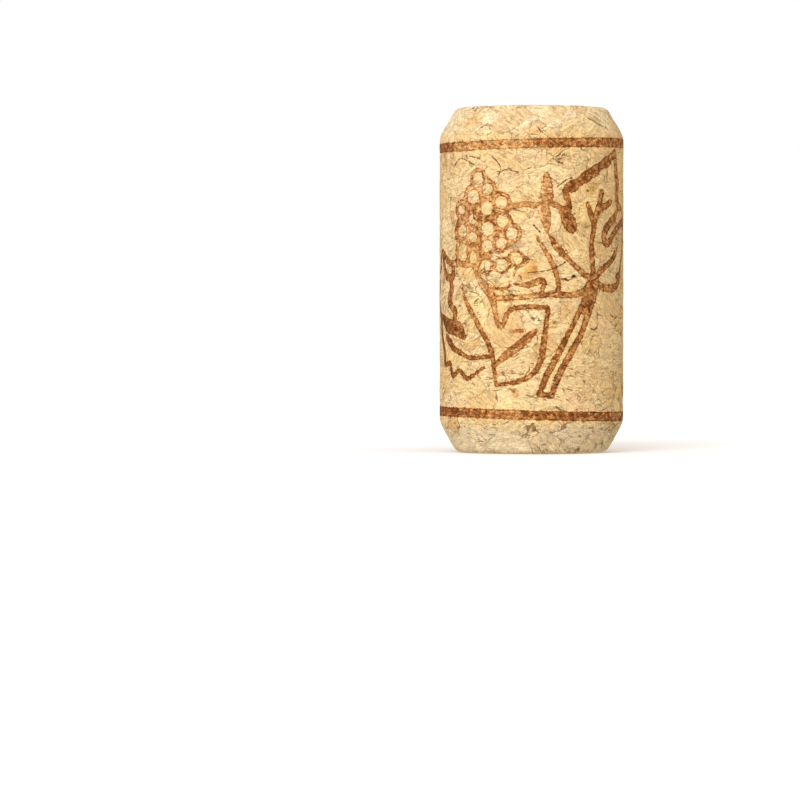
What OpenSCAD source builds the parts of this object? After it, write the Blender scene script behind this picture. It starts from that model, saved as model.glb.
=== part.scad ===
// Straight wine cork: a cylinder of pressed cork granules, ground round, with both ends chamfered.
// It is the same end to end and stands on one end face. Millimetres, +Z up along the axis,
// origin at the centre of the lower end face.

/* [Stopper] */
// Diameter of the stopper while nothing squeezes it
stopper_d = 22; // [17:0.5:32]
// Length from end face to end face
stopper_l = 41; // [25:0.5:60]

/* [Chamfered ends] */
// How far the chamfer reaches in across the end face
chamfer_w = 2; // [1:0.1:4]
// How far the chamfer reaches along the side
chamfer_h = 3.5; // [1.5:0.1:6]
// Radius of the worn blend between the side and the chamfer
shoulder_r = 3; // [0.3:0.1:4]
// Radius of the worn edge between the chamfer and the end face
rim_r = 1.2; // [0.3:0.1:2]

/* [Hidden] */
$fn = 128;

stopper_r = stopper_d / 2;
// Lean of the chamfer away from the axis, and its length along the slope
chamfer_angle = atan2(chamfer_w, chamfer_h);
chamfer_slope = norm([chamfer_w, chamfer_h]);
// The outline turns by the lean at the shoulder, and by the rest of a right angle at the rim
shoulder_turn = chamfer_angle;
rim_turn = 90 - chamfer_angle;
// Each blend keeps to its own half of the slope
shoulder_fillet = min(shoulder_r, chamfer_slope / 2 / tan(shoulder_turn / 2));
rim_fillet = min(rim_r, chamfer_slope / 2 / tan(rim_turn / 2));
// Centres of the two blend circles of an end, as [radius, height above its face]
shoulder_centre = [
    stopper_r - shoulder_fillet,
    chamfer_h + shoulder_fillet * tan(shoulder_turn / 2)
];
rim_centre = [
    stopper_r - chamfer_w - rim_fillet * tan(rim_turn / 2),
    rim_fillet
];

// Point where the outline touches a blend circle; angle 0 looks outwards and 90 looks at the end
function touch(centre, r, angle) = centre + r * [cos(angle), -sin(angle)];

// Half a section of one end, from its face to mid length, with a round blend at each corner
module end_section() {
    polygon([
        [0, 0],
        touch(rim_centre, rim_fillet, 90),
        touch(rim_centre, rim_fillet, chamfer_angle),
        touch(shoulder_centre, shoulder_fillet, chamfer_angle),
        touch(shoulder_centre, shoulder_fillet, 0),
        [stopper_r, stopper_l / 2],
        [0, stopper_l / 2]
    ]);
    translate(rim_centre) circle(r = rim_fillet);
    translate(shoulder_centre) circle(r = shoulder_fillet);
}

// Half a section of the cork: one end, and its mirror image at the other
module half_section() {
    end_section();
    translate([0, stopper_l]) mirror([0, 1]) end_section();
}

// The whole cork, turned from its half section
module cork_stopper() {
    color("burlywood")
        rotate_extrude() half_section();
}

cork_stopper();
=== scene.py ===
# Wine cork: pressed granules, printed vine, studio and camera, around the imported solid.
# Metres, +Z up along the axis, base on the floor at z = 0. The front of the print faces -Y.
import math

import bpy
import numpy as np
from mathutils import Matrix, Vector


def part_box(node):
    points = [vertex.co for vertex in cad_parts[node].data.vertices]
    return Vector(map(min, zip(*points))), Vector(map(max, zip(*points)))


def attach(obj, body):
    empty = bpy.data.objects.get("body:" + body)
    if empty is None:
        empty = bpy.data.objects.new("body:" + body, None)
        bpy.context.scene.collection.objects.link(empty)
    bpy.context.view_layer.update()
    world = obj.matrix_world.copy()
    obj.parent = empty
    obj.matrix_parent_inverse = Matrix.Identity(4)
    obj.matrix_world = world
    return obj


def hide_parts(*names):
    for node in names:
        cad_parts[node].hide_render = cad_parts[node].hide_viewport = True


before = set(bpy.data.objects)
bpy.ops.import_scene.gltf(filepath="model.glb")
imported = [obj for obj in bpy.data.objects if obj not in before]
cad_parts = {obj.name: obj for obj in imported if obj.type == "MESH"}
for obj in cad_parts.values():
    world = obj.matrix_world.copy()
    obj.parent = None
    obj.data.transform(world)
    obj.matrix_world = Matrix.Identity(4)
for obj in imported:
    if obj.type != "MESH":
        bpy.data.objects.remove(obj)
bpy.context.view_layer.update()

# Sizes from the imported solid
MM = 0.001
LOW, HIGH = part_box("cork_stopper")
RADIUS_MM = (HIGH.x - LOW.x) / 2 / MM
LENGTH_MM = (HIGH.z - LOW.z) / MM

# Mesh of the body: columns round the axis, and rows from face edge to face edge
FACE_CELLS = 86
COLUMNS = 4 * FACE_CELLS
ROWS = 214

# Pressed granules, in millimetres
GRANULE_SEED = (31.0, 7.0, 12.0)
OPEN_SEED = (5.0, 9.0, 2.0)
GRANULE_SQUASH = (1.0, 1.0, 1.3)
COARSE_GRANULE = 4.2
FINE_GRANULE = 2.0
BROKEN_SHARE = 0.45
BEND_LENGTH = 3.0
BEND = 1.3
JAG_LENGTH = 0.8
JAG = 0.3
GROOVE_WIDTH = 0.4
GROOVE_DEPTH = 0.07
WAVE_LENGTH = 5.0
WAVE_DEPTH = 0.09
CRUMB_LENGTH = 0.8
CRUMB_DEPTH = 0.05
PIT_SPACING = 3.0
PIT_RADIUS = 0.3
PIT_DEPTH = 0.35
PITTED_SHARE = 0.06
# How far the growth lines of a granule may lean from level, as a turn about each axis
GROWTH_LEAN = (1.5, 1.5, math.tau)


# Node helpers

def add(tree, kind, inputs=None, **settings):
    """Adds a node. An input that is a socket is linked, and any other value is set."""
    node = tree.nodes.new(kind)
    for name, value in settings.items():
        setattr(node, name, value)
    for key, value in (inputs or {}).items():
        if isinstance(value, bpy.types.NodeSocket):
            tree.links.new(value, node.inputs[key])
        else:
            node.inputs[key].default_value = value
    return node


def maths(tree, operation, a, b=0.0, clamp=False):
    """One step of arithmetic on numbers."""
    return add(tree, "ShaderNodeMath", {0: a, 1: b}, operation=operation, use_clamp=clamp).outputs[0]


def vectors(tree, operation, a, b):
    """One step of arithmetic on vectors."""
    return add(tree, "ShaderNodeVectorMath", {0: a, 1: b}, operation=operation).outputs[0]


def scaled(tree, vector, factor):
    """A vector times a number."""
    return add(tree, "ShaderNodeVectorMath", {0: vector, "Scale": factor}, operation="SCALE").outputs[0]


def length_of(tree, vector):
    """The length of a vector."""
    return add(tree, "ShaderNodeVectorMath", {0: vector}, operation="LENGTH").outputs["Value"]


def ramped(tree, value, start, end, low=0.0, high=1.0):
    """Eases from low to high while value goes from start to end."""
    inputs = {"Value": value, "From Min": start, "From Max": end, "To Min": low, "To Max": high}
    return add(tree, "ShaderNodeMapRange", inputs, interpolation_type="SMOOTHSTEP").outputs[0]


def spread(tree, cloud, low, high):
    """Eases from low to high over the values that noise mostly takes."""
    return ramped(tree, cloud, 0.3, 0.7, low, high)


def blended(tree, share, a, b):
    """From vector a at share 0 to vector b at share 1."""
    return add(tree, "ShaderNodeMix", {0: share, 4: a, 5: b}, data_type="VECTOR").outputs[1]


def noise(tree, point, length, detail=2.0, roughness=0.5, distortion=0.0):
    """Cloudy noise with features about this long."""
    inputs = {
        "Vector": point,
        "Scale": 1.0 / length,
        "Detail": detail,
        "Roughness": roughness,
        "Distortion": distortion,
    }
    return add(tree, "ShaderNodeTexNoise", inputs)


def cells(tree, point, size, feature="F1"):
    """Random cells about this wide."""
    return add(tree, "ShaderNodeTexVoronoi", {"Vector": point, "Scale": 1.0 / size}, feature=feature)


def parts_of(tree, vector):
    """The three numbers of a vector or colour."""
    return add(tree, "ShaderNodeSeparateXYZ", {0: vector}).outputs


# Fields that the mesh and the finish share, at a point in millimetres

def granules(tree, point):
    """A random triple for each granule, and how far inside its edge the point lies."""
    bent = vectors(tree, "ADD", point, GRANULE_SEED)
    for length, reach in ((BEND_LENGTH, BEND), (JAG_LENGTH, JAG)):
        cloud = noise(tree, point, length, detail=1.0).outputs["Color"]
        shift = scaled(tree, vectors(tree, "SUBTRACT", cloud, (0.5, 0.5, 0.5)), 2.0 * reach)
        bent = vectors(tree, "ADD", bent, shift)
    bent = vectors(tree, "MULTIPLY", bent, GRANULE_SQUASH)
    coarse = cells(tree, bent, COARSE_GRANULE).outputs["Color"]
    fine = cells(tree, bent, FINE_GRANULE).outputs["Color"]
    coarse_gap = cells(tree, bent, COARSE_GRANULE, "DISTANCE_TO_EDGE").outputs["Distance"]
    fine_gap = cells(tree, bent, FINE_GRANULE, "DISTANCE_TO_EDGE").outputs["Distance"]
    broken = maths(tree, "LESS_THAN", parts_of(tree, coarse)[0], BROKEN_SHARE)
    whole = maths(tree, "SUBTRACT", 1.0, broken)
    coarse_gap = maths(tree, "MULTIPLY", coarse_gap, COARSE_GRANULE)
    fine_gap = maths(tree, "MULTIPLY", fine_gap, FINE_GRANULE)
    fine_gap = maths(tree, "ADD", fine_gap, maths(tree, "MULTIPLY", whole, COARSE_GRANULE))
    gap = maths(tree, "MINIMUM", coarse_gap, fine_gap)
    return blended(tree, broken, coarse, fine), gap


def pits(tree, point):
    """1 in the middle of a small hole in the cork, 0 outside it."""
    rough = noise(tree, point, 0.5, detail=1.0).outputs["Color"]
    bent = vectors(tree, "ADD", point, scaled(tree, rough, 0.5))
    spots = cells(tree, bent, PIT_SPACING)
    luck = parts_of(tree, spots.outputs["Color"])[1]
    far = maths(tree, "MULTIPLY", spots.outputs["Distance"], PIT_SPACING)
    hole = ramped(tree, far, PIT_RADIUS, 0.4 * PIT_RADIUS)
    return maths(tree, "MULTIPLY", hole, maths(tree, "LESS_THAN", luck, PITTED_SHARE))


# Body of the cork

def turned_outline(solid):
    """Radius and height of each ring of the solid, from one end face's edge to the other's."""
    rings = {}
    for vertex in solid.data.vertices:
        height = round(vertex.co.z, 6)
        radius = math.hypot(vertex.co.x, vertex.co.y)
        rings[height] = max(radius, rings.get(height, 0.0))
    return [(rings[height], height) for height in sorted(rings)]


def outline_mesh(outline):
    """The outline as a chain of edges in the XZ plane."""
    mesh = bpy.data.meshes.new("cork_outline")
    points = [(radius, 0.0, height) for radius, height in outline]
    mesh.from_pydata(points, [(i, i + 1) for i in range(len(points) - 1)], [])
    return mesh


def grid(tree, columns, rows):
    """A square of cells from 0 to 1 both ways, with its two coordinates."""
    inputs = {"Size X": 1.0, "Size Y": 1.0, "Vertices X": columns, "Vertices Y": rows}
    mesh = add(tree, "GeometryNodeMeshGrid", inputs).outputs["Mesh"]
    place = add(tree, "GeometryNodeInputPosition").outputs[0]
    across, along, _ = parts_of(tree, vectors(tree, "ADD", place, (0.5, 0.5, 0.0)))
    return mesh, across, along


def placed(tree, mesh, x, y, z):
    """Moves the points of a mesh to x, y and z."""
    place = add(tree, "ShaderNodeCombineXYZ", {0: x, 1: y, 2: z}).outputs[0]
    return add(tree, "GeometryNodeSetPosition", {"Geometry": mesh, "Position": place}).outputs[0]


def turned_side(tree, outline, columns, rows):
    """The outline turned about the axis."""
    mesh, across, along = grid(tree, columns, rows)
    sample = add(tree, "GeometryNodeSampleCurve", {"Curves": outline, "Factor": along}, mode="FACTOR")
    radius, _, height = parts_of(tree, sample.outputs["Position"])
    angle = maths(tree, "MULTIPLY", across, math.tau)
    x = maths(tree, "MULTIPLY", radius, maths(tree, "COSINE", angle))
    y = maths(tree, "MULTIPLY", radius, maths(tree, "SINE", angle))
    return placed(tree, mesh, x, y, height)


def end_face(tree, outline, end, face_cells):
    """A square of cells rounded to a disc that fits the outline's end, 0 low or 1 high."""
    count = maths(tree, "ADD", face_cells, 1.0)
    mesh, across, along = grid(tree, count, count)
    sample = add(tree, "GeometryNodeSampleCurve", {"Curves": outline, "Factor": float(end)}, mode="FACTOR")
    radius, _, height = parts_of(tree, sample.outputs["Position"])
    reach = maths(tree, "MULTIPLY", radius, math.sqrt(2.0))
    turn_a = maths(tree, "MULTIPLY", maths(tree, "SUBTRACT", across, 0.5), math.pi / 2)
    turn_b = maths(tree, "MULTIPLY", maths(tree, "SUBTRACT", along, 0.5), math.pi / 2)
    x = maths(tree, "MULTIPLY", maths(tree, "SINE", turn_a), maths(tree, "COSINE", turn_b))
    y = maths(tree, "MULTIPLY", maths(tree, "SINE", turn_b), maths(tree, "COSINE", turn_a))
    x = maths(tree, "MULTIPLY", x, reach)
    y = maths(tree, "MULTIPLY", y, reach)
    face = placed(tree, mesh, x, y, height)
    if end == 0:
        face = add(tree, "GeometryNodeFlipFaces", {"Mesh": face}).outputs[0]
    return face


def relief(tree, sizes):
    """Depth of the surface below the ground form: grooves between granules, waves, crumbs and pits."""
    place = add(tree, "GeometryNodeInputPosition").outputs[0]
    point = scaled(tree, place, 1.0 / MM)
    _, gap = granules(tree, point)
    groove = ramped(tree, gap, sizes["Groove width"], 0.0)
    patchy = ramped(tree, noise(tree, point, 1.8).outputs[0], 0.35, 0.65)
    groove = maths(tree, "MULTIPLY", maths(tree, "MULTIPLY", groove, patchy), sizes["Groove depth"])
    wave = maths(tree, "MULTIPLY", noise(tree, point, WAVE_LENGTH).outputs[0], sizes["Wave depth"])
    crumb = maths(tree, "MULTIPLY", noise(tree, point, CRUMB_LENGTH).outputs[0], sizes["Crumb depth"])
    hole = maths(tree, "MULTIPLY", pits(tree, point), sizes["Pit depth"])
    depth = maths(tree, "ADD", maths(tree, "ADD", groove, wave), maths(tree, "ADD", crumb, hole))
    return maths(tree, "MULTIPLY", depth, -MM)


def cork_body_tree(material):
    """Turns the outline, closes the end faces and presses the granules' relief into the surface."""
    tree = bpy.data.node_groups.new("cork_body", "GeometryNodeTree")
    tree.is_modifier = True
    tree.interface.new_socket("Outline", in_out="INPUT", socket_type="NodeSocketGeometry")
    numbers = {}
    for name, kind, value in (
        ("Columns", "NodeSocketInt", COLUMNS),
        ("Rows", "NodeSocketInt", ROWS),
        ("Face cells", "NodeSocketInt", FACE_CELLS),
        ("Groove width", "NodeSocketFloat", GROOVE_WIDTH),
        ("Groove depth", "NodeSocketFloat", GROOVE_DEPTH),
        ("Wave depth", "NodeSocketFloat", WAVE_DEPTH),
        ("Crumb depth", "NodeSocketFloat", CRUMB_DEPTH),
        ("Pit depth", "NodeSocketFloat", PIT_DEPTH),
    ):
        socket = tree.interface.new_socket(name, in_out="INPUT", socket_type=kind)
        numbers[socket.identifier] = value
    tree.interface.new_socket("Cork", in_out="OUTPUT", socket_type="NodeSocketGeometry")
    given = add(tree, "NodeGroupInput").outputs
    outline = add(tree, "GeometryNodeMeshToCurve", {"Mesh": given["Outline"]}).outputs[0]
    columns = maths(tree, "ADD", given["Columns"], 1.0)
    rows = maths(tree, "ADD", given["Rows"], 1.0)
    joined = add(tree, "GeometryNodeJoinGeometry")
    tree.links.new(turned_side(tree, outline, columns, rows), joined.inputs[0])
    for end in (0, 1):
        tree.links.new(end_face(tree, outline, end, given["Face cells"]), joined.inputs[0])
    closed = add(tree, "GeometryNodeMergeByDistance", {"Geometry": joined.outputs[0], "Distance": 1e-5})
    normal = add(tree, "GeometryNodeInputNormal").outputs[0]
    offset = scaled(tree, normal, relief(tree, given))
    pressed = add(tree, "GeometryNodeSetPosition", {"Geometry": closed.outputs[0], "Offset": offset})
    smooth = add(tree, "GeometryNodeSetShadeSmooth", {"Geometry": pressed.outputs[0]})
    real = add(tree, "GeometryNodeRealizeInstances", {"Geometry": smooth.outputs[0]})
    finish = add(tree, "GeometryNodeSetMaterial", {"Geometry": real.outputs[0], "Material": material})
    add(tree, "NodeGroupOutput", {0: finish.outputs[0]})
    return tree, numbers


def plain_mesh(piece):
    """Turns what the piece's modifiers make into its own mesh."""
    evaluated = piece.evaluated_get(bpy.context.evaluated_depsgraph_get())
    mesh = bpy.data.meshes.new_from_object(evaluated)
    piece.modifiers.clear()
    piece.data = mesh
    mesh.name = piece.name


def cork_body(material):
    """The whole cork as one closed mesh."""
    piece = bpy.data.objects.new("cork_body", outline_mesh(turned_outline(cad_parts["cork_stopper"])))
    bpy.context.scene.collection.objects.link(piece)
    modifier = piece.modifiers.new("cork_body", "NODES")
    tree, numbers = cork_body_tree(material)
    modifier.node_group = tree
    for identifier, value in numbers.items():
        modifier[identifier] = value
    plain_mesh(piece)
    return piece


# Print: places in millimetres, across from the middle of the front and up from the base

BAND_HEIGHT = 36.35
BAND_WIDTH = 1.08
BAND_SKEW = 0.3
PRINT_REPEATS = 2

# Each grape: across, up, radius, and width of the printed rim round it
GRAPES = [
    (-6.65, 32.35, 0.72, 0.5), (-5.4, 31.05, 0.7, 0.5), (-7.45, 30.15, 0.88, 0.6), (-3.6, 29.5, 0.75, 0.45),
    (-5.55, 28.85, 0.86, 0.4), (-9.35, 28.7, 0.58, 0.6), (-3.45, 27.35, 0.74, 0.4), (-7.5, 27.55, 0.62, 0.4),
    (-5.4, 26.4, 0.85, 0.4), (-9.2, 26.2, 0.72, 0.75), (-2.35, 25.85, 0.72, 0.5), (-7.4, 25.45, 0.6, 0.4),
    (-3.6, 24.7, 0.66, 0.4), (-5.45, 24.4, 0.72, 0.4), (-9.1, 24.0, 0.72, 0.6), (-9.1, 23.3, 0.72, 0.6),
    (-7.4, 23.3, 0.5, 0.4), (-7.4, 22.9, 0.55, 0.4), (-1.8, 22.95, 0.72, 0.25), (-3.55, 22.15, 0.74, 0.25),
    (-5.7, 22.1, 0.68, 0.4),
]
GRAPE_BLEND = 0.2

# Each stroke: points with across, up and width of the line there
STALK = [
    [(-2.5, 28.9, 0.65), (-1.3, 29.2, 0.65), (-0.5, 29.3, 0.65), (0.5, 29.1, 0.75), (1.4, 29.15, 0.7),
     (2.2, 29.35, 0.75)],
    [(2.2, 29.5, 0.75), (2.9, 29.15, 0.7), (3.6, 28.8, 0.65), (4.5, 28.75, 0.65)],
    [(-1.2, 23.5, 0.3), (-0.4, 22.75, 0.35), (-0.9, 22.25, 0.4), (-1.9, 21.7, 0.3), (-2.0, 20.95, 0.2)],
]
BUDS = [
    [(1.78, 32.7, 0.65), (1.8, 32.2, 0.9), (1.8, 31.4, 1.35), (1.8, 30.6, 1.5), (1.75, 30.35, 1.4)],
    [(2.3, 30.3, 0.6), (2.2, 29.5, 0.6)],
    [(1.35, 28.85, 1.5), (1.55, 28.2, 1.4), (1.75, 27.2, 1.05), (1.87, 26.1, 0.4)],
    [(4.05, 28.1, 1.1), (4.3, 27.6, 1.6), (4.7, 26.9, 1.7), (4.9, 26.5, 1.35)],
    [(3.45, 28.3, 0.4), (4.8, 28.3, 0.4)],
]
LEAF_EDGE = [
    [(4.6, 28.9, 0.6), (4.5, 29.5, 0.7), (4.2, 30.2, 0.75), (4.1, 30.75, 0.75), (4.4, 31.15, 1.0),
     (5.05, 31.4, 1.45), (5.75, 31.8, 1.0), (6.4, 32.25, 1.2), (6.9, 32.5, 1.4), (7.5, 32.8, 1.1),
     (8.1, 33.15, 1.4), (8.8, 33.6, 1.0), (9.4, 33.95, 0.95), (10.3, 34.25, 1.3), (11.0, 34.6, 1.0),
     (11.6, 35.15, 0.8), (12.1, 35.6, 0.6)],
    [(12.15, 35.6, 0.6), (12.3, 34.8, 0.9), (12.5, 33.6, 0.85), (12.75, 32.5, 1.0), (12.9, 31.6, 1.25),
     (12.7, 30.7, 0.9), (12.9, 30.0, 1.0), (13.2, 29.2, 0.9), (14.6, 28.8, 0.6), (15.5, 27.4, 0.5),
     (15.8, 26.0, 0.5), (15.1, 24.4, 0.5)],
    [(12.9, 28.5, 0.6), (12.1, 27.8, 0.95), (10.9, 27.0, 0.95), (10.0, 26.0, 0.9), (9.8, 25.2, 0.9),
     (10.3, 24.75, 0.95), (11.0, 24.95, 0.9), (11.7, 25.7, 0.85), (12.9, 26.5, 0.8), (14.4, 27.2, 0.8),
     (15.3, 27.0, 0.5)],
    [(8.6, 19.9, 0.9), (10.0, 19.5, 0.85), (11.1, 19.45, 0.95), (12.2, 19.6, 0.9), (13.3, 20.1, 0.9),
     (13.8, 21.0, 0.8), (14.2, 22.3, 0.6), (15.1, 24.4, 0.5)],
    [(13.7, 21.2, 0.7), (13.0, 20.9, 0.7), (12.6, 20.85, 0.4)],
]
VEINS = [
    [(8.05, 20.6, 0.9), (7.9, 22.1, 0.65), (7.78, 23.5, 0.8), (7.7, 24.9, 0.7), (8.05, 26.3, 0.7),
     (8.15, 27.2, 0.75), (8.45, 28.0, 0.85), (8.9, 29.2, 0.8), (9.4, 30.7, 0.85)],
    [(8.5, 28.3, 0.8), (9.7, 28.95, 0.8), (11.1, 29.6, 0.75)],
    [(8.0, 27.2, 0.7), (7.5, 28.3, 0.75), (7.1, 29.35, 0.55)],
    [(8.4, 20.8, 0.8), (9.8, 21.85, 0.7), (11.0, 22.5, 0.7), (12.2, 23.3, 0.7), (12.9, 24.2, 0.5)],
    [(7.6, 20.6, 0.9), (6.2, 21.4, 0.65), (4.6, 22.7, 0.55), (3.2, 24.1, 0.85), (2.1, 25.6, 0.3)],
    [(3.1, 18.8, 0.6), (3.2, 20.3, 0.55), (2.5, 22.3, 0.65), (1.6, 23.9, 0.5), (0.5, 25.7, 0.3)],
]
VINE = [
    [(8.0, 20.3, 1.8), (7.5, 18.8, 2.1), (7.1, 17.5, 1.9), (6.9, 17.1, 1.7)],
    [(6.3, 17.4, 0.7), (4.9, 14.9, 0.6), (3.1, 11.6, 0.75), (1.7, 9.0, 0.75), (0.9, 7.1, 0.6)],
    [(7.5, 17.4, 1.0), (6.8, 15.6, 0.8), (6.25, 14.3, 0.7), (5.5, 13.0, 0.8), (4.75, 11.8, 0.8),
     (3.2, 9.2, 0.75), (2.4, 7.0, 0.65)],
    [(0.9, 7.1, 0.6), (2.4, 6.9, 0.6)],
    [(7.0, 19.3, 1.0), (5.2, 18.7, 0.75), (2.0, 18.7, 0.65), (-1.5, 18.4, 0.6), (-4.7, 18.3, 0.7)],
    [(-2.0, 19.9, 0.25), (-1.2, 19.85, 0.4), (-0.4, 19.85, 0.75), (0.4, 20.1, 0.8), (1.2, 20.35, 0.75),
     (1.5, 20.0, 0.6), (1.3, 19.4, 0.5), (1.3, 18.8, 0.5)],
]
SECOND_LEAF = [
    [(-7.3, 21.9, 0.4), (-6.7, 20.8, 0.6), (-5.9, 19.8, 1.0), (-5.2, 19.0, 1.1), (-4.7, 18.2, 0.9),
     (-4.4, 16.8, 0.6), (-4.0, 15.3, 0.55), (-3.6, 14.95, 0.5), (-3.2, 15.6, 0.55), (-2.8, 16.6, 0.6),
     (-1.9, 17.15, 0.6), (0.0, 17.3, 0.55), (1.4, 17.2, 0.55), (1.95, 17.0, 0.55), (1.7, 15.0, 0.55),
     (1.5, 13.3, 0.7), (1.2, 11.4, 0.7), (0.3, 9.6, 0.6), (-1.8, 8.5, 0.55), (-4.3, 8.2, 0.4)],
    [(-5.9, 20.2, 0.35), (-5.2, 19.75, 0.35), (-4.4, 19.5, 0.35), (-3.5, 19.35, 0.35), (-2.8, 19.6, 0.3),
     (-2.6, 20.2, 0.2)],
    [(0.4, 14.4, 0.6), (-0.5, 13.6, 0.95), (-1.7, 12.6, 1.0), (-2.9, 11.7, 0.9), (-4.3, 10.6, 0.5)],
    [(-2.4, 14.5, 0.3), (-1.0, 14.5, 0.4)],
    [(-9.1, 18.8, 0.4), (-7.9, 17.0, 0.65), (-6.3, 14.6, 0.6), (-4.9, 12.1, 0.6), (-4.3, 8.4, 0.4)],
]
THIRD_LEAF = [
    [(-8.0, 22.2, 0.7), (-10.0, 22.4, 0.75), (-12.0, 22.5, 0.75), (-13.0, 23.2, 0.7), (-14.2, 23.8, 0.7),
     (-15.0, 23.0, 0.6), (-14.9, 21.8, 0.55), (-16.3, 21.2, 0.55), (-15.5, 19.6, 0.5), (-16.5, 18.3, 0.5),
     (-15.2, 16.5, 0.6)],
    [(-13.9, 23.1, 0.7), (-13.4, 21.8, 0.8), (-12.8, 21.0, 0.9), (-11.9, 20.7, 0.9), (-11.1, 20.9, 0.8),
     (-11.1, 21.9, 0.6)],
    [(-11.5, 20.5, 0.7), (-11.4, 19.5, 0.85), (-11.7, 18.6, 1.05), (-11.9, 17.9, 0.9), (-11.2, 17.2, 0.85),
     (-10.6, 16.8, 0.9), (-10.7, 16.1, 0.8)],
    [(-15.3, 16.4, 0.6), (-14.0, 16.0, 0.8), (-13.0, 15.5, 1.3), (-12.0, 15.0, 1.7), (-11.0, 14.9, 1.75),
     (-10.0, 14.65, 1.7), (-9.4, 14.2, 1.2), (-8.9, 13.7, 0.6)],
    [(-12.6, 13.7, 0.8), (-11.8, 13.1, 0.9), (-10.9, 12.4, 0.75), (-9.5, 11.9, 0.6), (-7.8, 11.3, 0.5),
     (-4.9, 11.5, 0.4)],
    [(-14.8, 15.8, 0.6), (-14.4, 14.0, 0.8), (-13.3, 11.8, 0.7), (-13.1, 10.5, 0.6), (-11.8, 10.6, 0.55),
     (-11.1, 9.2, 0.55), (-9.7, 9.8, 0.5), (-8.3, 8.9, 0.5), (-5.9, 10.2, 0.3)],
]
STROKES = STALK + BUDS + LEAF_EDGE + VEINS + VINE + SECOND_LEAF + THIRD_LEAF
STROKE_STEPS = 6

# Cracks in the front, as strokes; where one is wide it opens into a hole
CRACKS = [
    [(-10.6, 34.0, 0.25), (-10.0, 34.5, 0.15), (-9.3, 34.7, 0.12), (-8.1, 34.3, 0.12), (-7.1, 33.8, 0.1)],
    [(-8.0, 34.95, 0.1), (-7.2, 34.8, 0.12), (-6.6, 34.65, 0.3)],
    [(-7.5, 37.5, 0.07), (-6.6, 38.2, 0.1), (-5.5, 38.95, 0.06)],
    [(-4.8, 34.9, 0.08), (-4.2, 34.3, 0.11), (-3.7, 33.6, 0.11), (-3.95, 32.6, 0.08)],
    [(-4.4, 33.0, 0.08), (-2.8, 33.25, 0.09), (-1.45, 33.0, 0.07), (-0.1, 33.5, 0.09), (0.8, 33.3, 0.06)],
    [(-2.1, 32.7, 0.1), (-1.6, 33.0, 0.08)],
    [(0.7, 38.4, 0.08), (1.2, 37.7, 0.14), (1.9, 37.2, 0.1), (2.8, 36.5, 0.16), (3.3, 36.1, 0.12)],
    [(8.1, 39.4, 0.16), (8.8, 39.2, 0.1), (9.5, 38.8, 0.14), (11.0, 38.3, 0.06)],
    [(2.3, 34.6, 0.1), (2.9, 34.4, 0.16)],
    [(3.0, 34.5, 0.1), (3.6, 34.55, 0.14)],
    [(3.05, 34.2, 0.1), (3.7, 34.05, 0.16)],
    [(2.3, 32.3, 0.12), (3.0, 31.9, 0.13)],
    [(3.1, 31.3, 0.16), (3.9, 31.9, 0.11), (4.6, 32.25, 0.12), (4.9, 32.35, 0.24)],
    [(7.05, 30.9, 0.3), (7.2, 30.8, 0.25)],
    [(0.3, 26.8, 0.2), (0.7, 26.3, 0.14), (1.0, 26.05, 0.22)],
    [(-0.4, 21.3, 0.1), (1.2, 21.4, 0.1), (2.8, 21.8, 0.15), (4.1, 22.5, 0.2)],
    [(4.9, 20.75, 0.12), (5.24, 20.87, 0.46), (5.6, 20.75, 0.12)],
    [(3.65, 20.56, 0.2), (4.1, 20.52, 0.3), (4.45, 20.38, 0.26), (4.8, 20.55, 0.12)],
    [(7.5, 14.8, 0.12), (8.2, 14.6, 0.22), (8.75, 15.0, 0.16)],
    [(11.1, 16.4, 0.12), (11.8, 16.1, 0.2)],
    [(-10.1, 20.45, 0.1), (-9.3, 20.7, 0.12), (-8.9, 21.5, 0.1)],
    [(-7.8, 19.1, 0.1), (-6.6, 18.75, 0.12)],
    [(-7.4, 28.6, 0.16), (-7.35, 27.7, 0.2), (-6.9, 27.4, 0.16)],
    [(-4.7, 27.2, 0.12), (-4.4, 26.8, 0.25)],
]
CRACK_DEPTH = 0.5
CRACK_SLOPE = 4.0
CRACK_LIP = 0.2

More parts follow.
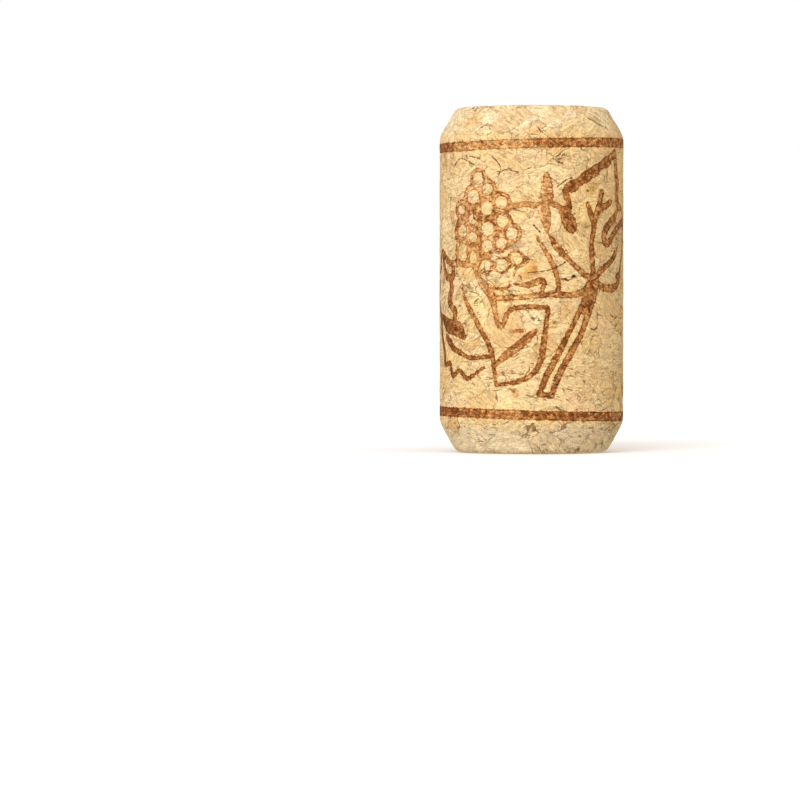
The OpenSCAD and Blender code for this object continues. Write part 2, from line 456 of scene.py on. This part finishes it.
# Granules and patches of another tone on the front: a tint, and a stroke that covers the patch
STAINS = [
    ((0.85, 0.66, 0.42), [(-1.3, 20.8, 0.7), (-0.4, 21.2, 1.2), (0.3, 22.2, 1.0)]),
    ((0.62, 0.44, 0.36), [(0.5, 21.7, 0.5), (0.55, 21.1, 0.6)]),
    ((0.80, 0.68, 0.42), [(7.5, 30.7, 0.6), (7.9, 31.3, 1.2), (8.3, 31.7, 0.9)]),
    ((1.0, 0.82, 0.64), [(-9.2, 38.8, 1.2), (-7.5, 39.4, 1.5)]),
    ((0.74, 0.63, 0.55), [(-13.3, 35.0, 1.2), (-13.0, 34.2, 1.2)]),
    ((0.56, 0.48, 0.52), [(-2.9, 24.2, 0.3), (-2.0, 24.4, 0.6), (-1.0, 24.6, 0.5)]),
    ((1.06, 1.12, 1.20), [(-2.2, 38.0, 1.2), (-1.2, 38.1, 0.9)]),
    ((1.06, 1.13, 1.26), [(-0.5, 38.3, 1.2), (0.6, 38.6, 1.2)]),
    ((0.80, 0.75, 0.60), [(8.4, 39.6, 0.6), (9.6, 39.1, 1.0)]),
    ((0.70, 0.64, 0.48), [(6.5, 26.9, 0.6), (6.9, 26.7, 0.7)]),
    ((1.12, 1.16, 1.20), [(-7.3, 20.2, 1.0), (-6.4, 18.4, 1.8), (-5.6, 16.2, 1.6), (-5.0, 14.3, 0.8)]),
    ((1.06, 1.10, 1.16), [(-2.4, 15.8, 1.0), (-0.8, 15.8, 1.5), (0.8, 15.9, 1.2)]),
    ((1.08, 1.10, 1.14), [(4.6, 25.3, 1.4), (5.8, 24.6, 1.8), (6.6, 23.6, 1.0)]),
    ((0.94, 0.88, 0.87), [(8.7, 25.4, 0.9), (9.0, 24.0, 1.3), (9.3, 22.9, 0.8)]),
]
STAIN_FADE = 0.25
# The chamfers are painted paler and cooler than the side: painted light, standing in for the whiter light
# from above that the upper one catches, and put on the lower one too. They begin this far from mid length
CHAMFER_LIGHT_TINT = (1.0, 1.08, 1.29)
CHAMFER_START = 16.8


def smooth_stroke(points):
    """Points along a smooth curve through the given ones, with their widths."""
    given = np.array(points, float)
    padded = np.vstack([2 * given[0] - given[1], given, 2 * given[-1] - given[-2]])
    share = np.linspace(0.0, 1.0, STROKE_STEPS, endpoint=False)[:, None]
    run = []
    for a, b, c, d in zip(padded, padded[1:], padded[2:], padded[3:]):
        bend = 2 * a - 5 * b + 4 * c - d
        swing = 3 * b - a - 3 * c + d
        run.append(b + 0.5 * share * (c - a + share * (bend + share * swing)))
    return np.vstack(run + [given[-1:]])


def stroke_pieces(places, strokes):
    """For each short piece of the strokes: the step from its middle line to places, and half its width."""
    for stroke in strokes:
        run = smooth_stroke(stroke)
        for start, end in zip(run, run[1:]):
            along = end[:2] - start[:2]
            share = np.clip((places - start[:2]) @ along / max(along @ along, 1e-9), 0.0, 1.0)
            step = places - start[:2] - share[:, None] * along
            yield step, (start[2] + share * (end[2] - start[2])) / 2


def strokes_gap(places, strokes):
    """How far places lie outside lines of changing width, negative inside them."""
    nearest = np.full(len(places), np.inf)
    for step, half_width in stroke_pieces(places, strokes):
        nearest = np.minimum(nearest, np.hypot(step[:, 0], step[:, 1]) - half_width)
    return nearest


def strokes_reach(places, strokes):
    """How far places lie outside the lines, with the step from the nearest line and half its width."""
    nearest = np.full(len(places), np.inf)
    reach = np.zeros((len(places), 3))
    for step, half_width in stroke_pieces(places, strokes):
        gap = np.hypot(step[:, 0], step[:, 1]) - half_width
        closer = gap < nearest
        nearest[closer] = gap[closer]
        reach[closer] = np.column_stack([step, half_width])[closer]
    return nearest, reach


def bunch_gap(places):
    """How far places lie outside the printed field round the grapes; the grapes stay bare."""
    grapes = np.array(GRAPES)
    away = np.linalg.norm(places[:, None] - grapes[None, :, :2], axis=2) - grapes[:, 2]
    field = -GRAPE_BLEND * np.log(np.exp((grapes[:, 3] - away) / GRAPE_BLEND).sum(axis=1))
    return np.maximum(field, -away.min(axis=1))


def band_skew(angle):
    """How far the upper band, which leans a little, lies above its middle height."""
    return BAND_SKEW * np.sin(angle)


def bands_gap(angle, height):
    """How far places lie outside the two printed bands; the lower one leans the other way."""
    upper = np.abs(height - BAND_HEIGHT - band_skew(angle))
    lower = np.abs(height - (LENGTH_MM - BAND_HEIGHT) + band_skew(angle))
    return np.minimum(upper, lower) - BAND_WIDTH / 2


def print_gap(angle, height):
    """How far places lie outside the print, in millimetres, negative inside it."""
    turn = math.tau / PRINT_REPEATS
    front = (angle + turn / 2) % turn - turn / 2
    # Each repeat keeps as far below the upper band as the one in front
    rise = band_skew(angle) - band_skew(front)
    places = np.column_stack([front * RADIUS_MM, height - rise])
    drawn = np.minimum(strokes_gap(places, STROKES), bunch_gap(places))
    return np.minimum(drawn, bands_gap(angle, height))


def stain_and_chamfer_light_tints(places):
    """Colour by which the stains, and the painted light on the chamfers, tint the cork at each place, white
    where there is none.
    """
    tints = np.ones((len(places), 4))
    # Painted light: the chamfers get a paler, cooler tint for the whiter light from above
    ground = np.clip(np.abs(places[:, 1:] - LENGTH_MM / 2) - CHAMFER_START, 0.0, 1.0)
    tints[:, :3] += ground * (np.array(CHAMFER_LIGHT_TINT) - 1.0)
    for tint, stroke in STAINS:
        share = np.clip(0.5 - strokes_gap(places, [stroke]) / (2 * STAIN_FADE), 0.0, 1.0)[:, None]
        tints[:, :3] *= 1.0 + share * (np.array(tint) - 1.0)
    return tints


def lay_marks(piece):
    """Presses the cracks in, and writes cracks, stains with the chamfers' painted light, and print on the
    points, for the finish to read.
    """
    mesh = piece.data
    points = np.empty(len(mesh.vertices) * 3, np.float32)
    mesh.vertices.foreach_get("co", points)
    points = points.reshape(-1, 3)
    angle = np.arctan2(points[:, 0], -points[:, 1]).astype(float)
    height = points[:, 2].astype(float) / MM
    places = np.column_stack([angle * RADIUS_MM, height])
    crack_gap, crack_reach = strokes_reach(places, CRACKS)
    # A crack is pressed in from a little inside its edge, so that thin ones stay shallow
    depth = CRACK_DEPTH * np.clip(-CRACK_SLOPE * crack_gap - CRACK_LIP, 0.0, 1.0)
    points[:, :2] *= (1.0 - depth / RADIUS_MM)[:, None]
    mesh.vertices.foreach_set("co", points.ravel())
    mesh.update()
    for name, kind, key, values in (
        ("crack_gap", "FLOAT", "value", crack_gap),
        ("crack_reach", "FLOAT_VECTOR", "vector", crack_reach),
        ("print_gap", "FLOAT", "value", print_gap(angle, height)),
        ("stain_and_chamfer_light", "FLOAT_COLOR", "color", stain_and_chamfer_light_tints(places)),
    ):
        layer = mesh.attributes.new(name, kind, "POINT")
        layer.data.foreach_set(key, values.astype(np.float32).ravel())


# Finishes

def srgb(red, green, blue):
    """A colour read as 0 to 255 on a screen, as the linear colour that a shader takes."""
    def linear(value):
        share = value / 255
        return share / 12.92 if share <= 0.04045 else ((share + 0.055) / 1.055) ** 2.4
    return (linear(red), linear(green), linear(blue), 1.0)


GRANULE_TONES = [
    (0.00, srgb(221, 178, 118)),
    (0.08, srgb(231, 193, 132)),
    (0.32, srgb(237, 203, 142)),
    (0.56, srgb(240, 208, 151)),
    (0.74, srgb(237, 199, 144)),
    (0.88, srgb(238, 203, 136)),
    (0.96, srgb(230, 188, 125)),
    (1.00, srgb(225, 175, 107)),
]
SEAM_COLOUR = srgb(116, 70, 18)
# Painted shade: a near-black brown put in pits and holes, where shade falls in them
PIT_SHADE_COLOUR = srgb(48, 27, 15)
MARK_COLOUR = srgb(122, 83, 35)
INK_TINTS = [
    (0.00, (1.0, 1.0, 1.0, 1.0)),
    (0.27, (0.84, 0.66, 0.50, 1.0)),
    (0.46, (0.68, 0.44, 0.28, 1.0)),
    (0.77, (0.36, 0.165, 0.055, 1.0)),
    (1.00, (0.19, 0.07, 0.012, 1.0)),
]

# Seams and cracks, in millimetres; a shade is how much of the dark colour shows, 0 to 1
SEAM_WIDTH = 0.085
SEAM_SHADES = (0.06, 0.6)
OPEN_SEAM_WIDTH = 0.12
OPEN_SEAM_SHADE = 0.8
CRACK_RAGGED = 0.05
CRACK_SHADE = 0.95
CRACK_SIDE_GAP = 0.15
# How much of the painted shade shows in pits and holes
HOLE_SHADE = 0.9

# Growth lines: how they stretch noise, and the shade of their marks at the lower and the upper heights
STREAK_STRETCH = (0.8, 0.8, 4.0)
MARK_WIDTH = 0.04
MARK_HEIGHTS = (20.0, 38.0)
MARK_SHADES = (0.95, 0.5)

# How far clouds, speckle and growth lines darken and lighten a granule
CLOUD_SHADES = (0.94, 1.06)
FLECK_SHADES = (0.7, 1.3)
STREAK_SHADES = (0.75, 1.21)

# Thickness of the ink, 0 to 1: its blotches, and what is added for other causes
INK_FRAY = 0.45
INK_BLOTCHES = (0.13, 0.76)
INK_AT_RIM = 0.24
INK_IN_WIDE_LINES = 0.14
INK_PRESS = 0.07
INK_IN_STREAKS = 0.1
INK_IN_MARKS = 0.2
INK_AT_LEFT = 0.2
LEFT_EDGE = (-7.5, -10.0)
# The print lies thinnest round this place of the front, in millimetres, and thicker away from it
THIN_PRINT = (-4.0, 0.0, 30.0)
THIN_PRINT_REACH = (4.5, 8.5)
THIN_PRINT_SQUASH = (1.0, 0.0, 0.45)
INK_AWAY = (-0.08, 0.17)

# Sheen, and relief that is too fine for the mesh
SPECULAR = 0.2
ROUGHNESS = (0.95, 0.78)
GROOVE_HEIGHT = 0.4
BUMP_STRENGTH = 0.8
BUMP_MM = 0.15


def colour_ramp(tree, value, stops):
    """A run of colours over 0 to 1."""
    node = add(tree, "ShaderNodeValToRGB", {"Fac": value})
    ramp = node.color_ramp
    while len(ramp.elements) < len(stops):
        ramp.elements.new(0.5)
    for element, (place, colour) in zip(ramp.elements, stops):
        element.position = place
        element.color = colour
    return node.outputs["Color"]


def tinted(tree, share, a, b):
    """Colour b over colour a, by share."""
    return add(tree, "ShaderNodeMix", {0: share, 6: a, 7: b}, data_type="RGBA").outputs[2]


def painted(tree, name):
    """What lay_marks wrote on the points under this name."""
    return add(tree, "ShaderNodeAttribute", attribute_name=name).outputs


def growth_lines(tree, point, random):
    """Fine growth lines, which lean another way in each granule: a streaky tone, and thin dark marks."""
    turn = vectors(tree, "SUBTRACT", random, (0.5, 0.5, 0.5))
    turn = vectors(tree, "MULTIPLY", turn, GROWTH_LEAN)
    inputs = {"Vector": point, "Rotation": turn}
    turned = add(tree, "ShaderNodeVectorRotate", inputs, rotation_type="EULER_XYZ").outputs[0]
    stretched = vectors(tree, "MULTIPLY", turned, STREAK_STRETCH)
    streak = noise(tree, stretched, 1.0, detail=3.0, roughness=0.65, distortion=1.0).outputs[0]
    swirl = noise(tree, stretched, 1.9, detail=1.0, distortion=1.0).outputs[0]
    contour = maths(tree, "ABSOLUTE", maths(tree, "SUBTRACT", swirl, 0.5))
    broken = ramped(tree, noise(tree, point, 0.9, detail=1.0).outputs[0], 0.45, 0.55)
    mark = maths(tree, "MULTIPLY", ramped(tree, contour, MARK_WIDTH, 0.0), broken)
    lined = ramped(tree, parts_of(tree, random)[2], 0.1, 0.6)
    return streak, maths(tree, "MULTIPLY", mark, lined)


def seams(tree, point, gap):
    """How dark the seams between granules are: thin and faint along most of them, open here and there."""
    patchy = noise(tree, point, 2.6, detail=2.0).outputs[0]
    line = ramped(tree, gap, SEAM_WIDTH, 0.0)
    line = maths(tree, "MULTIPLY", line, ramped(tree, patchy, 0.35, 0.62, *SEAM_SHADES))
    loose = noise(tree, vectors(tree, "ADD", point, OPEN_SEED), 1.5, detail=1.0).outputs[0]
    opened = ramped(tree, loose, 0.54, 0.74, 0.0, OPEN_SEAM_WIDTH)
    wide = ramped(tree, maths(tree, "SUBTRACT", gap, opened), 0.0, -0.04, 0.0, OPEN_SEAM_SHADE)
    return maths(tree, "MAXIMUM", line, wide)


def cracks(tree, point):
    """How far the point lies outside the nearest crack, whose edge is ragged."""
    reach = painted(tree, "crack_reach")["Vector"]
    flat = vectors(tree, "MULTIPLY", reach, (1.0, 1.0, 0.0))
    gap = maths(tree, "SUBTRACT", length_of(tree, flat), parts_of(tree, reach)[2])
    # Half way between two cracks the step changes sides, so the plain gap rules that place out
    plain = maths(tree, "SUBTRACT", painted(tree, "crack_gap")["Fac"], CRACK_SIDE_GAP)
    gap = maths(tree, "MAXIMUM", gap, plain)
    ragged = noise(tree, point, 0.35, detail=1.0).outputs[0]
    return maths(tree, "ADD", gap, spread(tree, ragged, -CRACK_RAGGED, CRACK_RAGGED))


def print_cover(tree, point, streak, mark, seam):
    """How thick the ink lies: none outside the print, frayed at its edge, thick at its rim and in marks."""
    fray = noise(tree, point, 0.3, detail=2.0, roughness=0.6).outputs[0]
    fray = maths(tree, "MULTIPLY", maths(tree, "SUBTRACT", fray, 0.5), INK_FRAY)
    gap = maths(tree, "ADD", painted(tree, "print_gap")["Fac"], fray)
    inside = ramped(tree, gap, 0.09, -0.04)
    blotch = noise(tree, point, 0.55, detail=4.0, roughness=0.75).outputs[0]
    press = noise(tree, point, 5.0, detail=1.0).outputs[0]
    from_thin = vectors(tree, "SUBTRACT", point, THIN_PRINT)
    away = length_of(tree, vectors(tree, "MULTIPLY", from_thin, THIN_PRINT_SQUASH))
    cover = ramped(tree, blotch, 0.33, 0.67, *INK_BLOTCHES)
    for part in (
        ramped(tree, gap, -0.17, -0.05, 0.0, INK_AT_RIM),
        ramped(tree, gap, -0.3, -0.6, 0.0, INK_IN_WIDE_LINES),
        spread(tree, press, -INK_PRESS, INK_PRESS),
        ramped(tree, away, *THIN_PRINT_REACH, *INK_AWAY),
        ramped(tree, parts_of(tree, point)[0], *LEFT_EDGE, 0.0, INK_AT_LEFT),
        ramped(tree, streak, 0.35, 0.65, INK_IN_STREAKS, -INK_IN_STREAKS),
        maths(tree, "MULTIPLY", maths(tree, "MAXIMUM", mark, seam), INK_IN_MARKS),
    ):
        cover = maths(tree, "ADD", cover, part)
    return maths(tree, "MULTIPLY", cover, inside, clamp=True)


def cork_finish():
    """Matt pressed granules, with seams, growth lines, painted shade in pits, painted light on the chamfers,
    and the brown print.
    """
    material = bpy.data.materials.new("pressed_cork")
    material.use_nodes = True
    tree = material.node_tree
    shader = tree.nodes["Principled BSDF"]
    shader.inputs["Specular IOR Level"].default_value = SPECULAR
    point = scaled(tree, add(tree, "ShaderNodeTexCoord").outputs["Object"], 1.0 / MM)
    random, gap = granules(tree, point)
    streak, mark = growth_lines(tree, point, random)
    # Tone of each granule, cloudy inside it, with a fine light and dark speckle
    colour = colour_ramp(tree, parts_of(tree, random)[1], GRANULE_TONES)
    cloud = spread(tree, noise(tree, point, 1.1, detail=2.0).outputs[0], *CLOUD_SHADES)
    speckle = noise(tree, point, 0.2, detail=2.0, roughness=0.8).outputs[0]
    fleck = ramped(tree, speckle, 0.2, 0.8, *FLECK_SHADES)
    lines = spread(tree, streak, *STREAK_SHADES)
    shade = maths(tree, "MULTIPLY", maths(tree, "MULTIPLY", cloud, fleck), lines)
    colour = vectors(tree, "MULTIPLY", colour, shade)
    # Stains, and the painted light that makes the chamfers paler and cooler
    colour = vectors(tree, "MULTIPLY", colour, painted(tree, "stain_and_chamfer_light")["Color"])
    # Growth marks, fainter towards the upper end
    faint = ramped(tree, parts_of(tree, point)[2], *MARK_HEIGHTS, *MARK_SHADES)
    colour = tinted(tree, maths(tree, "MULTIPLY", mark, faint), colour, MARK_COLOUR)
    # The print dyes the granules
    crack_gap = cracks(tree, point)
    crack = ramped(tree, crack_gap, 0.05, -0.05, 0.0, CRACK_SHADE)
    seam = maths(tree, "MAXIMUM", seams(tree, point, gap), crack)
    cover = print_cover(tree, point, streak, mark, seam)
    colour = vectors(tree, "MULTIPLY", colour, colour_ramp(tree, cover, INK_TINTS))
    # Dark seams along part of the granules' edges and cracks, and painted shade in pits and in the holes
    # where cracks open
    colour = tinted(tree, seam, colour, SEAM_COLOUR)
    pit_shade = maths(tree, "MAXIMUM", pits(tree, point), ramped(tree, crack_gap, -0.06, -0.13))
    colour = tinted(tree, maths(tree, "MULTIPLY", pit_shade, HOLE_SHADE), colour, PIT_SHADE_COLOUR)
    tree.links.new(colour, shader.inputs["Base Color"])
    # Rough all over, with relief too fine for the mesh
    tree.links.new(spread(tree, speckle, *ROUGHNESS), shader.inputs["Roughness"])
    groove = maths(tree, "MULTIPLY", maths(tree, "MAXIMUM", mark, seam), GROOVE_HEIGHT)
    height = maths(tree, "SUBTRACT", maths(tree, "ADD", streak, speckle), groove)
    inputs = {"Strength": BUMP_STRENGTH, "Distance": BUMP_MM * MM, "Height": height}
    bump = add(tree, "ShaderNodeBump", inputs)
    tree.links.new(bump.outputs[0], shader.inputs["Normal"])
    return material


# Studio

WHITE = (1.0, 1.0, 1.0, 1.0)
FLOOR_HALF = 1.2
FLOOR_COLOUR = (0.9, 0.9, 0.9, 1.0)
FLOOR_FADE = 0.12
FLOOR_GLOW_NEAR = 0.15
FLOOR_GLOW_FAR = 0.55
WORLD_STRENGTH = 0.6
WORLD_TINT = (1.0, 0.93, 0.85, 1.0)
LIGHT_AWAY = 0.6
LIGHT_SIZE = 0.35
# Each soft light: name, degrees round from the front, degrees up, watts and tint
LIGHTS = [
    ("key", -19, 22, 2.85, (1.0, 1.02, 1.14)),
    ("top", 40, 68, 0.7, (1.0, 0.93, 0.82)),
    ("side", -95, 5, 0.2, (0.7, 1.0, 1.7)),
]


def floor_finish():
    """White studio floor with a glow that keeps it white, weaker near the cork so that its shadow shows."""
    material = bpy.data.materials.new("studio_floor")
    material.use_nodes = True
    tree = material.node_tree
    shader = tree.nodes["Principled BSDF"]
    shader.inputs["Base Color"].default_value = FLOOR_COLOUR
    shader.inputs["Roughness"].default_value = 1.0
    shader.inputs["Specular IOR Level"].default_value = 0.0
    shader.inputs["Emission Color"].default_value = WHITE
    away = length_of(tree, add(tree, "ShaderNodeTexCoord").outputs["Object"])
    glow = ramped(tree, away, 0.0, FLOOR_FADE, FLOOR_GLOW_NEAR, FLOOR_GLOW_FAR)
    tree.links.new(glow, shader.inputs["Emission Strength"])
    return material


def studio_floor():
    """A wide plain floor under the cork, which takes its shadow and throws no light back up."""
    mesh = bpy.data.meshes.new("floor")
    corners = [(-FLOOR_HALF, -FLOOR_HALF, 0), (FLOOR_HALF, -FLOOR_HALF, 0)]
    corners += [(FLOOR_HALF, FLOOR_HALF, 0), (-FLOOR_HALF, FLOOR_HALF, 0)]
    mesh.from_pydata(corners, [], [(0, 1, 2, 3)])
    mesh.materials.append(floor_finish())
    floor = bpy.data.objects.new("floor", mesh)
    floor.visible_diffuse = False
    bpy.context.scene.collection.objects.link(floor)


def soft_light(name, turn, lift, watts, tint):
    """A square soft light aimed at the middle of the cork, turned from the front and lifted, in radians."""
    light = bpy.data.lights.new(name, "AREA")
    light.size = LIGHT_SIZE
    light.energy = watts
    light.color = tint
    lamp = bpy.data.objects.new(name, light)
    back = Vector((math.sin(turn) * math.cos(lift), -math.cos(turn) * math.cos(lift), math.sin(lift)))
    lamp.location = Vector((0, 0, LENGTH_MM * MM / 2)) + LIGHT_AWAY * back
    lamp.rotation_euler = (-back).to_track_quat("-Z", "Y").to_euler()
    bpy.context.scene.collection.objects.link(lamp)


def studio_light():
    """White surroundings that light a little warm, and the soft lights."""
    world = bpy.data.worlds.new("studio")
    bpy.context.scene.world = world
    world.use_nodes = True
    tree = world.node_tree
    sky = tree.nodes["Background"]
    seen = add(tree, "ShaderNodeLightPath").outputs["Is Camera Ray"]
    strength = ramped(tree, seen, 0.0, 1.0, WORLD_STRENGTH, 1.0)
    tree.links.new(tinted(tree, seen, WORLD_TINT, WHITE), sky.inputs["Color"])
    tree.links.new(strength, sky.inputs["Strength"])
    for name, turn, lift, watts, tint in LIGHTS:
        soft_light(name, math.radians(turn), math.radians(lift), watts, tint)


# Camera: the photo's framing, 800 pixels square

CAMERA_LENS = 200
CAMERA_PLACE = (0.0, -529.4, 16.9)
CAMERA_AIM = (-15.65, 0.0, 6.2)


def camera():
    """A long lens, level with the cork's lower half, which stands right of the middle of the frame."""
    data = bpy.data.cameras.new("camera")
    data.lens = CAMERA_LENS
    data.sensor_width = 36
    data.clip_start = 0.01
    eye = bpy.data.objects.new("camera", data)
    eye.location = Vector(CAMERA_PLACE) * MM
    aim = Vector(CAMERA_AIM) * MM - eye.location
    eye.rotation_euler = aim.to_track_quat("-Z", "Y").to_euler()
    bpy.context.scene.collection.objects.link(eye)
    bpy.context.scene.camera = eye


camera()
studio_floor()
studio_light()
bpy.context.scene.view_settings.view_transform = "Standard"

cork = cork_body(cork_finish())
lay_marks(cork)
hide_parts("cork_stopper")
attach(cork, "root")
